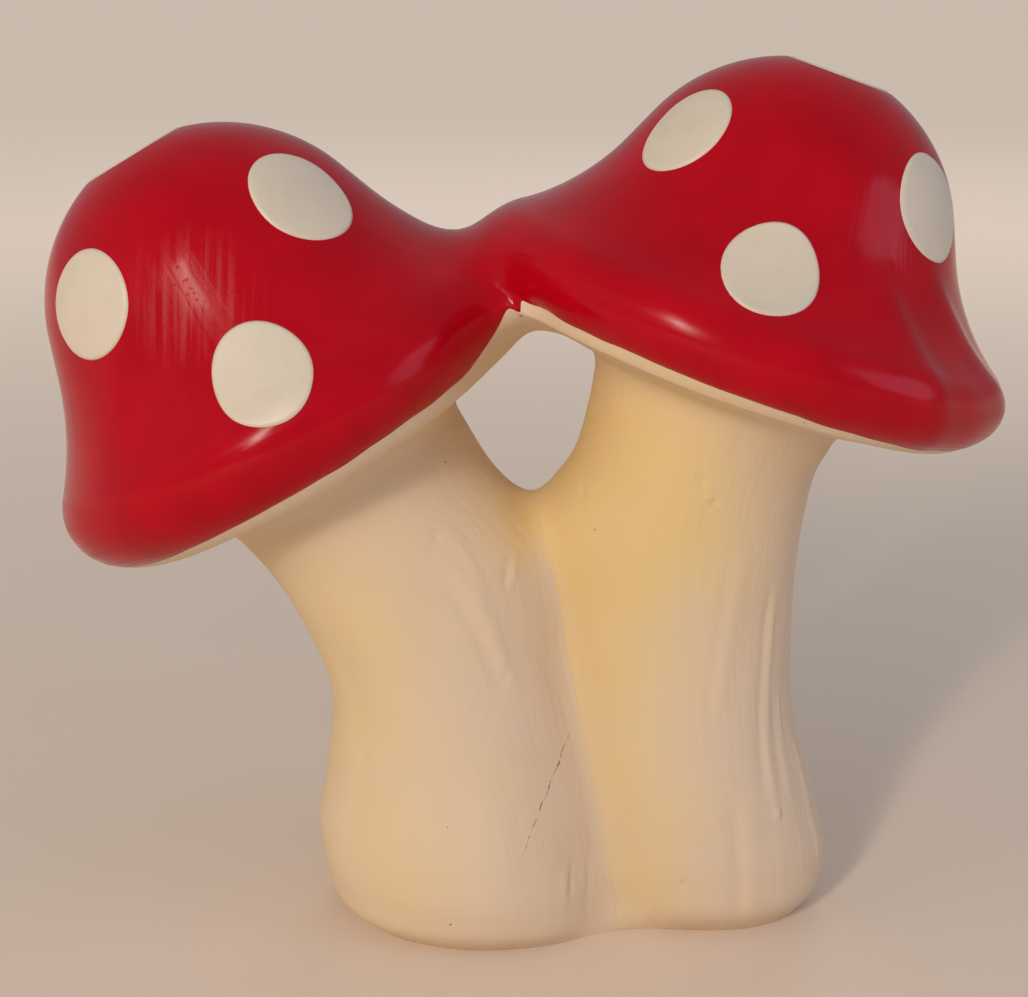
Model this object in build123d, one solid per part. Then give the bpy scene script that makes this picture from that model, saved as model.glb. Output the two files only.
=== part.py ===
from build123d import *

import os
from dataclasses import dataclass
from math import atan2, cos, degrees, radians, sin, sqrt

# Two leaning toadstools in hollow cast earthenware, joined at their stems and at their caps.
# Millimetres. +X is to the right, +Y is away from the front, +Z is up, and the feet stand on Z = 0.
# The origin is under the middle of the pair. Front and back are alike.

# Clay walls and the joints between the cast pieces
WALL = 4.0
FLOOR_THICKNESS = 6.0
UNDERSIDE_THICKNESS = 4.0
JOINT_CLEARANCE = 0.2
SPIGOT_RADIUS = 14.0
SPIGOT_HEIGHT = 7.0
REBATE_WIDTH = 3.0
REBATE_HEIGHT = 2.0
VENT_RADIUS = 4.0
SPOT_THICKNESS = 0.3

# The slanted flat face on which the two stems meet, from the floor up to the fork between them
SEAM_FOOT_X = 19.1
FORK_X = 3.5
FORK_HEIGHT = 87.7
SEAM_HALF_DEPTH_AT_FOOT = 12.0
SEAM_HALF_DEPTH_AT_FORK = 3.0

# How far the right stem's shoulder stands above the left one, which brings the two lips together
SHOULDER_STEP = 15.8

# The oval band of clay smoothed over the crease between the two lips, and how far it goes past the crease
NECK_RISE = 3.7
NECK_SPREAD = 5.2


@dataclass
class Ring:
    """One egg-shaped outline round a stem, in the plane that the stem has there."""
    share: float             # share of the way up the stem's centreline
    outward: float           # half-width on the side away from the other stem
    depth: float             # half-width to the front and to the back
    inward: float = 0.0      # half-width towards the other stem, or 0 to reach the seam


@dataclass
class Stem:
    """A stem whose centreline bends from upright at the foot to the cap's lean at the top."""
    outward: int             # +1 where the outer side faces +X, -1 where it faces -X
    foot_x: float
    top_x: float
    top_height: float
    lean: float              # degrees from upright, positive to the right
    bend: float              # length of the top stretch that follows the cap's axis
    rings: list              # from the foot to the shoulder under the cap


@dataclass
class Spot:
    """A white oval, placed by its turn from the front, and its reach down the cap's outline."""
    name: str
    turn: float              # degrees, positive to the right
    reach: float             # along the outline, from the top of the cap
    width: float             # across, round the cap
    height: float            # up and down the outline


@dataclass
class Cap:
    """A bell: a dome with a flat top, a straight flank, a hollow flare and a rolled lip."""
    height: float            # top of the whole round of the dome above the stem's shoulder
    dome_radius: float
    flat_diameter: float     # flat on top of the dome, which carries the top spot
    flank_angle: float       # degrees between the flank and the axis
    flank_length: float      # from the dome down to where the flare starts
    rim_radius: float
    lip_radius: float
    lip_height: float        # middle of the lip's roll above the stem's shoulder
    top_spot_diameter: float
    front_spots: list


LEFT_STEM = Stem(
    outward=-1, foot_x=-7.4, top_x=-39.1, top_height=95.3, lean=-30.6, bend=62.5,
    rings=[
        Ring(share=0.00, outward=27.5, depth=24.0),
        Ring(share=0.04, outward=31.2, depth=27.8),
        Ring(share=0.11, outward=33.0, depth=30.0),
        Ring(share=0.22, outward=33.2, depth=30.0),
        Ring(share=0.39, outward=28.0, depth=26.8),
        Ring(share=0.59, outward=21.2, depth=24.6),
        Ring(share=0.78, outward=20.5, depth=24.4),
        Ring(share=0.87, outward=21.0, depth=24.8, inward=28.6),
        Ring(share=1.00, outward=23.8, depth=26.0, inward=27.6),
    ])
RIGHT_STEM = Stem(
    outward=1, foot_x=39.3, top_x=38.8, top_height=LEFT_STEM.top_height + SHOULDER_STEP, lean=19.6, bend=43.6,
    rings=[
        Ring(share=0.00, outward=18.8, depth=15.5),
        Ring(share=0.03, outward=22.8, depth=19.4),
        Ring(share=0.09, outward=25.9, depth=21.6),
        Ring(share=0.18, outward=25.7, depth=22.2),
        Ring(share=0.32, outward=23.2, depth=21.8),
        Ring(share=0.51, outward=23.0, depth=21.8),
        Ring(share=0.68, outward=23.0, depth=22.4),
        Ring(share=0.78, outward=23.1, depth=23.0, inward=24.2),
        Ring(share=0.87, outward=23.6, depth=23.8, inward=23.4),
        Ring(share=0.94, outward=24.8, depth=25.1, inward=24.0),
        Ring(share=1.00, outward=25.4, depth=25.8, inward=25.4),
    ])
LEFT_CAP = Cap(
    height=70.9, dome_radius=34.8, flat_diameter=21.0, flank_angle=20.4, flank_length=7.4,
    rim_radius=50.0, lip_radius=11.0, lip_height=13.8, top_spot_diameter=20.0,
    front_spots=[
        Spot("left", turn=-32.6, reach=39.2, width=20.8, height=20.1),
        Spot("right", turn=54.4, reach=42.9, width=20.0, height=21.1),
        Spot("low", turn=9.6, reach=67.4, width=17.9, height=21.1),
    ])
RIGHT_CAP = Cap(
    height=64.2, dome_radius=33.4, flat_diameter=21.0, flank_angle=25.0, flank_length=7.6,
    rim_radius=52.5, lip_radius=8.2, lip_height=13.1, top_spot_diameter=20.0,
    front_spots=[
        Spot("left", turn=-57.2, reach=38.5, width=17.4, height=19.6),
        Spot("right", turn=48.4, reach=36.1, width=20.4, height=20.4),
        Spot("low", turn=-7.5, reach=58.1, width=17.5, height=19.9),
    ])

# Larger than the whole ornament, for cutting blocks
BLOCK_SIZE = 4 * (FORK_HEIGHT + LEFT_CAP.height + RIGHT_CAP.height)


def centreline(stem, share):
    """Point (x, z) of the stem's curve: from the foot, towards the bend, to the top."""
    lean = radians(stem.lean)
    bend_x = stem.top_x - stem.bend * sin(lean)
    bend_z = stem.top_height - stem.bend * cos(lean)
    start, middle, end = (1 - share) ** 2, 2 * share * (1 - share), share ** 2
    return start * stem.foot_x + middle * bend_x + end * stem.top_x, middle * bend_z + end * stem.top_height


def stem_plane(stem, share):
    """Plane across the stem: level at the foot, square to the cap's axis at the top."""
    x, z = centreline(stem, share)
    tilt = radians(stem.lean) * share ** 2
    return Plane(origin=(x, 0, z), x_dir=(cos(tilt), 0, -sin(tilt)), z_dir=(sin(tilt), 0, cos(tilt)))


def seam_reach(stem, ring):
    """Half-width towards the other stem that gives the ring the seam's own depth on the seam."""
    x, z = centreline(stem, ring.share)
    tilt = radians(stem.lean) * ring.share ** 2
    slope = (FORK_X - SEAM_FOOT_X) / FORK_HEIGHT
    along = (SEAM_FOOT_X + slope * z - x) / (cos(tilt) + slope * sin(tilt))
    height = z - along * sin(tilt)
    half_depth = SEAM_HALF_DEPTH_AT_FOOT
    half_depth += (SEAM_HALF_DEPTH_AT_FORK - SEAM_HALF_DEPTH_AT_FOOT) * height / FORK_HEIGHT
    return abs(along) / sqrt(1 - (half_depth / ring.depth) ** 2)


def ring_face(stem, ring, inset):
    """Egg of four quarter ellipses, drawn in by the inset all round."""
    outward = ring.outward - inset
    inward = (ring.inward or seam_reach(stem, ring)) - inset
    depth = ring.depth - inset
    right, left = (outward, inward) if stem.outward > 0 else (inward, outward)
    radii = [right, left, left, right]
    quarters = [
        EllipticalCenterArc((0, 0), radius, depth, 90 * i, arc_size=90) for i, radius in enumerate(radii)]
    return stem_plane(stem, ring.share) * make_face(quarters)


def stem_form(stem, inset):
    """Smooth solid through all the rings."""
    return loft([ring_face(stem, ring, inset) for ring in stem.rings])


def shoulder_radius(stem):
    """Radius of the round seat that covers the stem's top."""
    top = stem.rings[-1]
    return max(top.outward, top.depth, top.inward)


def block(plane, above):
    """Everything on one side of a plane."""
    return extrude(plane * Rectangle(BLOCK_SIZE, BLOCK_SIZE), BLOCK_SIZE if above else -BLOCK_SIZE)


def seam_block(stem, offset):
    """Everything past the seam as seen from the stem, starting the offset short of it."""
    normal = Vector(FORK_HEIGHT, 0, SEAM_FOOT_X - FORK_X).normalized() * -stem.outward
    origin = Vector(SEAM_FOOT_X, 0, 0) - normal * offset
    return block(Plane(origin=origin, x_dir=(0, 1, 0), z_dir=normal), above=True)


def stem_solid(stem):
    """Hollow stem with a vented floor, a flat shoulder at the top and a vented spigot on it."""
    shoulder = stem_plane(stem, 1.0)
    hollow = stem_form(stem, WALL) - seam_block(stem, WALL)
    hollow -= block(Plane.XY.offset(FLOOR_THICKNESS), above=False)
    hollow -= block(shoulder.offset(-WALL), above=True)
    upright = (Align.CENTER, Align.CENTER, Align.MIN)
    spigot = shoulder * Cylinder(SPIGOT_RADIUS, SPIGOT_HEIGHT, align=upright)
    top_vent = shoulder.offset(-2 * WALL) * Cylinder(VENT_RADIUS, 2 * WALL + SPIGOT_HEIGHT, align=upright)
    floor_vent = Pos(stem.foot_x, 0, 0) * Cylinder(VENT_RADIUS, 2 * FLOOR_THICKNESS, align=upright)
    return stem_form(stem, 0) - seam_block(stem, 0) + spigot - hollow - top_vent - floor_vent


def flare_points(cap):
    """Where the flank starts and ends, the flare's centre and the lip's centre, as (radius, height).

    The flare is the arc that leaves the flank's end and meets the lip's roll, tangent to both.
    """
    angle = radians(cap.flank_angle)
    down, out = Vector(sin(angle), -cos(angle)), Vector(cos(angle), sin(angle))
    lip = Vector(cap.rim_radius - cap.lip_radius, cap.lip_height)
    flank_top = Vector(0, cap.height - cap.dome_radius) + out * cap.dome_radius
    flank_bottom = flank_top + down * cap.flank_length
    gap = flank_bottom - lip
    flare_radius = (gap.dot(gap) - cap.lip_radius ** 2) / (2 * (cap.lip_radius - gap.dot(out)))
    return flank_top, flank_bottom, flank_bottom + out * flare_radius, lip


def arc_between(centre, radius, start, end):
    """Arc about a centre from the direction of one point to the direction of another, the short way."""
    first = degrees(atan2(start.Y - centre.Y, start.X - centre.X))
    last = degrees(atan2(end.Y - centre.Y, end.X - centre.X))
    size = (last - first + 180) % 360 - 180
    return CenterArc((centre.X, centre.Y), radius, first, size)


def flat_top(cap, inset):
    """Middle of the flat on top of the dome, moved inwards by the inset."""
    rise = sqrt(cap.dome_radius ** 2 - (cap.flat_diameter / 2) ** 2)
    return Vector(0, cap.height - cap.dome_radius + rise - inset)


def bell_line(cap, inset, lip_end):
    """Edges of the bell's outline from its top to the lip's end, moved inwards by the inset."""
    flank_top, flank_bottom, flare, lip = flare_points(cap)
    flare_radius = (flare - flank_bottom).length
    dome = Vector(0, cap.height - cap.dome_radius)
    inwards = (dome - flank_top).normalized() * inset
    top = flat_top(cap, inset)
    dome_start = top + Vector(sqrt((cap.dome_radius - inset) ** 2 - (top - dome).length ** 2), 0)
    return [
        Line(top, dome_start),
        arc_between(dome, cap.dome_radius - inset, dome_start, flank_top),
        Line(flank_top + inwards, flank_bottom + inwards),
        arc_between(flare, flare_radius + inset, flank_bottom, lip),
        arc_between(lip, cap.lip_radius - inset, flare, lip + Vector(1, 0)),
        arc_between(lip, cap.lip_radius - inset, lip + Vector(1, 0), lip_end),
    ]


def turned(edges):
    """Solid of revolution from a closed half-outline in (radius, height)."""
    return revolve(Plane.XZ * make_face(edges), Axis.Z)


def lip_edge(cap):
    """Where the red lip ends against the underside plate, on the lip's round."""
    lip = flare_points(cap)[3]
    return lip + Vector(REBATE_WIDTH, -sqrt(cap.lip_radius ** 2 - REBATE_WIDTH ** 2))


def cap_solid(cap):
    """Hollow bell with a rebate inside its lip for the underside plate."""
    lip = flare_points(cap)[3]
    edge = lip_edge(cap)
    ledge = lip.Y - cap.lip_radius + REBATE_HEIGHT
    below = lip - Vector(0, cap.lip_radius - WALL)
    rebate = Polyline(edge, (edge.X, ledge), (lip.X, ledge), below)
    axis = Line(flat_top(cap, 0), flat_top(cap, WALL))
    return turned(bell_line(cap, 0, edge) + [rebate, axis] + bell_line(cap, WALL, below))


def underside_solid(cap, stem):
    """Plate from the lip down to the stem's shoulder, with a hole for the spigot."""
    lip = flare_points(cap)[3]
    edge = lip_edge(cap)
    edge_x = edge.X - JOINT_CLEARANCE
    edge = Vector(edge_x, lip.Y - sqrt(cap.lip_radius ** 2 - (edge_x - lip.X) ** 2))
    bottom = lip - Vector(0, cap.lip_radius)
    neck = lip.X - JOINT_CLEARANCE
    hole = SPIGOT_RADIUS + JOINT_CLEARANCE
    ledge = bottom.Y + REBATE_HEIGHT
    seat = shoulder_radius(stem)
    outline = Polyline(
        bottom, (seat, 0), (hole, 0), (hole, UNDERSIDE_THICKNESS), (seat, UNDERSIDE_THICKNESS),
        (neck, bottom.Y + UNDERSIDE_THICKNESS), (neck, ledge), (edge_x, ledge), edge)
    return turned([outline, arc_between(lip, cap.lip_radius, edge, bottom)])


def bell_form(cap, stem, swell):
    """The cap and its underside as one full solid, swollen all round by a given thickness."""
    lip = flare_points(cap)[3]
    bottom = lip - Vector(0, cap.lip_radius + swell)
    closing = Polyline(bottom, (shoulder_radius(stem), 0), (0, 0), flat_top(cap, -swell))
    return turned(bell_line(cap, -swell, bottom) + [closing])


def spot_seat(cap, reach):
    """Point on the bell's outline at a reach from its top, and the direction that faces out there."""
    outline = Wire(bell_line(cap, 0, lip_edge(cap)))
    point = outline.position_at(reach, PositionMode.LENGTH)
    along = outline.tangent_at(reach, PositionMode.LENGTH)
    return point, Vector(-along.Y, along.X)


def spot_solid(cap, layer, reach, bearing, width, height):
    """Oval of the thin layer over the bell, cut square to its surface."""
    point, out = spot_seat(cap, reach)
    place = Plane(origin=(point.X, 0, point.Y), x_dir=(0, 1, 0), z_dir=(out.X, 0, out.Y))
    punch = extrude(place * Ellipse(width / 2, height / 2), height / 2, both=True)
    return layer & (Rot(0, 0, bearing) * punch)


def spot_solids(cap, stem):
    """All spots of one cap by name: one on top, the front ones, and the same mirrored to the back."""
    layer = bell_form(cap, stem, SPOT_THICKNESS) - bell_form(cap, stem, 0)
    spots = {"top": spot_solid(cap, layer, 0, 0, cap.top_spot_diameter, cap.top_spot_diameter)}
    for spot in cap.front_spots:
        bearing = spot.turn - 90
        spots["front_" + spot.name] = spot_solid(cap, layer, spot.reach, bearing, spot.width, spot.height)
        spots["back_" + spot.name] = spot_solid(cap, layer, spot.reach, -bearing, spot.width, spot.height)
    return spots


def toadstool(stem, cap, side):
    """All solids of one toadstool by node name, in place."""
    place = stem_plane(stem, 1.0)
    pieces = {
        side + "_stem": stem_solid(stem),
        side + "_cap_underside": place * underside_solid(cap, stem),
        side + "_cap": place * cap_solid(cap),
    }
    for name, spot in spot_solids(cap, stem).items():
        pieces[side + "_cap_spot_" + name] = place * spot
    return pieces


def lip_centre(stem, cap, side):
    """Middle of the lip's roll at the side of the cap that faces the other cap."""
    lip = flare_points(cap)[3]
    return stem_plane(stem, 1.0).from_local_coords(Vector(side * lip.X, 0, lip.Y))


def crease_half(first, second, overlap):
    """Half the length of the chord that two overlapping circles share, or 0 where they are apart."""
    apart = first + second - overlap
    reach = (apart ** 2 + first ** 2 - second ** 2) / (2 * apart)
    return sqrt(max(first ** 2 - reach ** 2, 0))


def neck_solid(left_bell, right_bell):
    """Oval band from lip to lip, past the crease between them all round, fitted against both bells."""
    start = lip_centre(LEFT_STEM, LEFT_CAP, 1)
    end = lip_centre(RIGHT_STEM, RIGHT_CAP, -1)
    length = (end - start).length
    overlap = LEFT_CAP.lip_radius + RIGHT_CAP.lip_radius - length
    half_height = crease_half(LEFT_CAP.lip_radius, RIGHT_CAP.lip_radius, overlap) + NECK_RISE
    half_depth = crease_half(LEFT_CAP.rim_radius, RIGHT_CAP.rim_radius, overlap) + NECK_SPREAD
    across = Plane(origin=start, x_dir=(0, 1, 0), z_dir=end - start)
    band = extrude(across * Ellipse(half_depth, half_height), length)
    return band - left_bell - right_bell


def main():
    left = toadstool(LEFT_STEM, LEFT_CAP, "left")
    right = toadstool(RIGHT_STEM, RIGHT_CAP, "right")
    left_bell = stem_plane(LEFT_STEM, 1.0) * bell_form(LEFT_CAP, LEFT_STEM, 0)
    right_bell = stem_plane(RIGHT_STEM, 1.0) * bell_form(RIGHT_CAP, RIGHT_STEM, 0)
    # The right lip lies over the left cap, which is cut to sit against it.
    for name in ("left_cap", "left_cap_underside"):
        left[name] -= right_bell
    neck = {"neck_fillet": neck_solid(left_bell, right_bell)}
    os.makedirs("parts", exist_ok=True)
    for name, solid in (left | right | neck).items():
        export_step(solid, "parts/" + name + ".step")


main()
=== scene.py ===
"""Looks of a ceramic mushroom ornament: two hand-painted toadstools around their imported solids."""

from math import acos, atan2, cos, hypot, pi, radians, sin, sqrt, tau

import bpy
import numpy as np
from bpy.props import FloatProperty, FloatVectorProperty, PointerProperty
from bpy.types import Operator, Panel, PropertyGroup
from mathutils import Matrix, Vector


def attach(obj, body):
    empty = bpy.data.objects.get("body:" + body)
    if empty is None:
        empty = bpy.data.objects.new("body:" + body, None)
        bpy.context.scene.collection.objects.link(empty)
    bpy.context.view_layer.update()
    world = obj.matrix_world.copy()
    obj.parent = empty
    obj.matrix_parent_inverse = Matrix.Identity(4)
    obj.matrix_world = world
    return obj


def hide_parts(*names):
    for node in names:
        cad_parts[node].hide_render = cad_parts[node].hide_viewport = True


bl_info = {
    "name": "Ceramic mushroom ornament",
    "version": (1, 0, 0),
    "blender": (4, 5, 0),
    "location": "View3D > Sidebar > Ornament",
    "description": "Two hand-painted ceramic toadstools, joined at their stems and caps",
    "category": "Add Mesh",
}

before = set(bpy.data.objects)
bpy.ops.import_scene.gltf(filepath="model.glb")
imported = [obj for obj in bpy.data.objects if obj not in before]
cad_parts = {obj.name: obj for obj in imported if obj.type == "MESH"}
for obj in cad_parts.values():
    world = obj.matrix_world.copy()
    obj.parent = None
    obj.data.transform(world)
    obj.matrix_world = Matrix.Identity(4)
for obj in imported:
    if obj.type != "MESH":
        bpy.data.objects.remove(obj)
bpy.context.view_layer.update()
MM = 0.001
FRONT = -pi / 2

# Egg-shaped rings round the stems, from foot to shoulder: share of the way up, then half-widths in
# millimetres: away from the other stem, to front and back, and towards the other stem (0 is to the seam)
LEFT_RINGS = (
    (0.00, 27.5, 24.0, 0.0),
    (0.04, 31.2, 27.8, 0.0),
    (0.11, 33.0, 30.0, 0.0),
    (0.22, 33.2, 30.0, 0.0),
    (0.39, 28.0, 26.8, 0.0),
    (0.59, 21.2, 24.6, 0.0),
    (0.78, 20.5, 24.4, 0.0),
    (0.87, 21.0, 24.8, 28.6),
    (1.00, 23.8, 26.0, 27.6),
)
RIGHT_RINGS = (
    (0.00, 18.8, 15.5, 0.0),
    (0.03, 22.8, 19.4, 0.0),
    (0.09, 25.9, 21.6, 0.0),
    (0.18, 25.7, 22.2, 0.0),
    (0.32, 23.2, 21.8, 0.0),
    (0.51, 23.0, 21.8, 0.0),
    (0.68, 23.0, 22.4, 0.0),
    (0.78, 23.1, 23.0, 24.2),
    (0.87, 23.6, 23.8, 23.4),
    (0.94, 24.8, 25.1, 24.0),
    (1.00, 25.4, 25.8, 25.4),
)

# White spots: name, turn from the front in degrees (positive to the right), then in millimetres the reach
# down the cap's outline from its top, the width and the height. The back has the front's spots mirrored.
LEFT_SPOTS = (
    ("left", -32.6, 39.2, 20.8, 20.1),
    ("right", 54.4, 42.9, 20.0, 21.1),
    ("low", 9.6, 67.4, 17.9, 21.1),
)
RIGHT_SPOTS = (
    ("left", -57.2, 38.5, 17.4, 19.6),
    ("right", 48.4, 36.1, 20.4, 20.4),
    ("low", -7.5, 58.1, 17.5, 19.9),
)

# How finely the grids are drawn, and how finely points are brought onto the finished faces
CAP_COLUMNS, CAP_ROWS, CAP_INNER_STEP = 352, 190, 6
UNDERSIDE_ROWS, UNDERSIDE_ROW_CROWDING, UNDERSIDE_INNER_STEP = 110, 1.5, 6
STEM_COLUMNS, STEM_ROWS, STEM_ROW_CROWDING = 352, 250, 1.25
SPOT_COLUMNS, SPOT_ROWS, SPOT_BACK_ROWS = 96, 24, 4
FLOOR_COLUMNS, FLOOR_ROWS = 64, 8
HIGHEST_SHARE, HALVINGS, LEAST_RING_SLOPE = 1.2, 30, 1e-9
SETTLE_STEPS, SETTLE_FINENESS, SETTLE_DEPTH = 12, 0.0001 * MM, 9.0 * MM
SLOPE_STEP, LEAST_SLOPE, LONGEST_STEP = 0.02 * MM, 0.01, 2.0 * MM

# Where the paint ends on the lips, as a turn of the lip's roll up from its underside, and its waver: waves
# round the cap, share of the height, and shift. Near the neck the paint's end is shifted: by a turn of the
# roll, within a turn of the cap from the neck, and growing over another turn of the cap. Under the paint the
# bare rim is drawn down, in full below a turn of the roll, by a depth on the outer and on the inner side.
LEFT_PAINT_EDGE, RIGHT_PAINT_EDGE, RIM_FOOT = radians(20), radians(17), radians(3)
RIM_OUTER, RIM_INNER = 0.4 * MM, 1.9 * MM
PAINT_WAVER, PAINT_WAVES = 0.12 * MM, ((5, 1.0, 1.0), (13, 0.7, 0.0), (29, 0.5, 2.0))
LEFT_NECK_PAINT = radians(54), radians(40), radians(28)
RIGHT_NECK_PAINT = radians(-6), radians(24.5), radians(4.5)

# How the clay of one part passes under another, and how far hidden ends reach
UNDER_RUN = 3.0 * MM
BRIDGE_STEPS, BRIDGE_LAP, BRIDGE_FADE, BRIDGE_UNDER = 40, 0.6 * MM, 2.0 * MM, 0.05 * MM
UNDERSIDE_REACH = 32.0 * MM
STEM_TUCK, STEM_END = 7.0 * MM, 1.06
CAP_MEAN_RADIUS, STEM_MEAN_RADIUS = 40.0 * MM, 25.0 * MM

# Unevenness of handwork on stems and caps: wavelength and height of the ripple, how many waves make it up,
# seeds of the random numbers, and how near a joint it fades
STEM_RIPPLE, CAP_RIPPLE = (16.0 * MM, 0.22 * MM), (24.0 * MM, 0.14 * MM)
RIPPLE_WAVES, CAP_SEED, SEED_STEP = 6, 5, 10
JOINT_FADE = 6.0 * MM

# Flutes down the front of the stems: turn from the front at the lower and the upper end and width in degrees,
# then in millimetres the heights of both ends and how far they stand out
LEFT_FLUTES = (
    (31.0, 20.0, 3.0, 52.0, 80.0, -0.45),
    (37.0, 26.0, 3.4, 50.0, 84.0, 0.40),
    (30.0, 38.0, 2.4, 68.0, 90.0, 0.30),
    (-14.0, -22.0, 9.0, 18.0, 80.0, 0.30),
    (46.0, 40.0, 8.0, 8.0, 56.0, -0.30),
    (-48.0, -40.0, 7.0, 14.0, 66.0, -0.30),
)
RIGHT_FLUTES = (
    (39.0, 51.0, 2.8, 24.0, 76.0, 0.32),
    (35.0, 46.0, 2.8, 28.0, 76.0, -0.25),
    (51.0, 57.0, 2.4, 24.0, 54.0, 0.18),
    (46.0, 53.0, 2.2, 26.0, 54.0, -0.12),
    (67.0, 69.0, 3.6, 8.0, 42.0, 0.35),
    (15.0, 27.0, 4.4, 46.0, 84.0, 0.22),
    (9.0, 20.0, 4.4, 44.0, 80.0, -0.16),
    (-9.0, -5.0, 5.0, 58.0, 96.0, 0.22),
    (12.0, 19.0, 4.2, 0.0, 34.0, -0.35),
    (19.0, 25.0, 4.6, 2.0, 34.0, 0.25),
)
FLUTE_FADE = 9.0

# Dents and lumps on the front: x, z, half-width and half-length in millimetres, slant to the right in
# degrees, and how far they stand out in millimetres
NICKS = (
    (-3.0, 76.6, 0.8, 2.6, 8.0, -0.40),
    (-1.7, 77.2, 0.8, 2.4, 8.0, 0.30),
    (-3.2, 57.0, 0.8, 1.0, 0.0, -0.35),
    (8.6, 14.5, 0.7, 3.2, 3.0, 0.30),
    (9.8, 14.0, 0.6, 3.2, 3.0, -0.30),
    (13.4, 12.0, 0.6, 5.0, 2.0, -0.30),
    (-31.8, 38.6, 0.9, 1.6, 15.0, -0.30),
    (-16.6, 84.6, 0.7, 2.0, 15.0, -0.30),
    (11.5, 91.6, 0.6, 2.0, -4.0, -0.40),
    (33.7, 96.8, 0.9, 0.9, 0.0, -0.35),
    (36.0, 92.4, 0.9, 0.8, 0.0, -0.40),
    (35.0, 92.9, 1.0, 0.7, 0.0, 0.30),
    (32.1, 13.1, 0.7, 0.9, 20.0, -0.35),
    (51.2, 26.3, 0.7, 1.3, -20.0, 0.50),
    (52.0, 25.7, 0.5, 1.0, -20.0, -0.35),
)

# Folds in the right lip: turn from the front in degrees at a travel down the outline in millimetres, slant in
# degrees per millimetre, widths to the left and right in degrees, start and end, and how far they stand out
FOLDS = (
    (31.0, 66.0, 0.5, 11.0, 6.0, 44.0, 92.0, 1.0),
    (60.0, 64.0, 0.8, 8.0, 6.0, 42.0, 88.0, 0.8),
)
FOLD_FADE = 16.0

# Places on each toadstool, front and back alike, where the slip turned yellow and warm light is painted
# on the sides facing left: x, z and radius in millimetres, and strength
LEFT_YELLOWED_AND_LIT = (
    (-40.0, 84.0, 21.0, 0.30),
    (-34.0, 62.0, 19.0, 0.32),
    (-36.0, 38.0, 19.0, 0.28),
    (-29.0, 14.0, 19.0, 0.25),
    (2.0, 85.0, 8.0, 0.90),
)
RIGHT_YELLOWED_AND_LIT = (
    (17.0, 100.0, 21.0, 0.95),
    (13.0, 78.0, 14.0, 0.75),
    (16.0, 55.0, 13.0, 0.65),
    (20.0, 32.0, 12.0, 0.55),
    (22.0, 12.0, 11.0, 0.40),
    (32.0, 84.0, 18.0, 0.40),
)

# Wear on the left toadstool: a worn patch on its cap, whose pale streaks are also a painted highlight, and a
# crack down its stem
RUBBED_SHEEN_PLACE, RUBBED_SHEEN_SIZE, RUBBED_SHEEN_CORE = (-0.0587, -0.0340, 0.1330), 15.0 * MM, 3.75 * MM
CRACK_TOP, CRACK_SLANT = (0.0097, 0.0, 0.0432), radians(25)
CRACK_LENGTH, CRACK_WIDTH, CRACK_WANDER = 25.0 * MM, 0.36 * MM, 1.3 * MM
CRACK_THIN_TOP, CRACK_THIN_END = 7.5 * MM, 12.5 * MM

# A spot's hand-drawn outline: its waver, the fewest waves round it and one more than the most, and the share
# of the spot that is level
SPOT_WAVER, SPOT_WAVES, SPOT_CROWN = 0.02, (2, 6), 0.93

# Grains of the finishes in millimetres: brush strokes along three axes, and round grains
DOME_STROKE, LIP_STROKE, STEM_STROKE = (1.0, 1.0, 24.0), (26.0, 26.0, 1.1), (1.6, 1.6, 16.0)
RUBBED_SHEEN_STROKE, SPOT_STROKE = (1.0, 30.0, 30.0), (1.2, 1.2, 7.0)
BLOTCH, GRIT, STAIN, CLOUD, GRAIN = 14.0, 0.6, 5.0, 18.0, 0.8
PINHOLE_CELL, CRACK_BEND, CRACK_DOT = 7.0, 3.0, 0.9

# How far down the outline the strokes of the dome turn into those of the lip
LIP_START = 60.0 * MM, 85.0 * MM

# Spans of the patterns' values that the finishes use, and how strongly these show
STROKE_SPAN, GRIT_SPAN, RUBBED_SHEEN_SPAN, STAIN_SPAN = (0.3, 0.7), (0.60, 0.70), (0.38, 0.70), (0.5, 0.8)
AGED_SPAN, PINHOLE_SPAN, CRACK_DOT_SPAN = (0.2, 1.2), (0.7, 1.0), (0.44, 0.60)
RUBBED_SHEEN_STRENGTH, STAIN_STRENGTH, CLOUD_STRENGTH, GRAIN_STRENGTH = 0.40, 0.35, 0.5, 0.35
PINHOLE_REACH, CRACK_LEAST = 0.06, 0.05

# Shine and fine relief of the finishes
ENAMEL_ROUGHNESS, GRIT_ROUGHNESS, GRIT_RISE = (0.13, 0.27), 0.4, -0.6
SPOT_ROUGHNESS, CREAM_ROUGHNESS, FLOOR_ROUGHNESS = 0.42, 0.68, 0.8
ENAMEL_SPECULAR, CREAM_SPECULAR = 0.14, 0.3
ENAMEL_BUMP, SPOT_BUMP, CREAM_BUMP = 0.03 * MM, 0.06 * MM, 0.16 * MM

# The stage: floor, lamps as name, place, width, height, power and colour, the lamps that the gloss doesn't
# show, the room's light, and the camera
FLOOR_RADIUS, FLOOR_THICKNESS, FLOOR_GAP = 30.0, 0.02, 0.02 * MM
FLOOR_NEAR, FLOOR_FAR, FLOOR_LIFT = 0.03, 1.2, 0.37
AIM_POINT = Vector((0, 0, 0.09))
LIGHTS = (
    ("key", (-0.41, -0.92, 0.54), 0.16, 0.50, 3.3, "#FFF7EC"),
    ("key_core", (-0.41, -0.92, 0.50), 0.06, 0.16, 2.3, "#FFF3E4"),
    ("window", (-1.80, -0.62, 0.80), 1.20, 1.20, 3.5, "#FFF7EC"),
    ("back", (0.30, 1.30, 1.10), 0.80, 0.80, 2.4, "#F4F6FF"),
    ("fill", (0.98, -0.36, 0.38), 0.60, 0.60, 1.9, "#C8D9FF"),
)
UNMIRRORED = ("window", "back")
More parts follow.
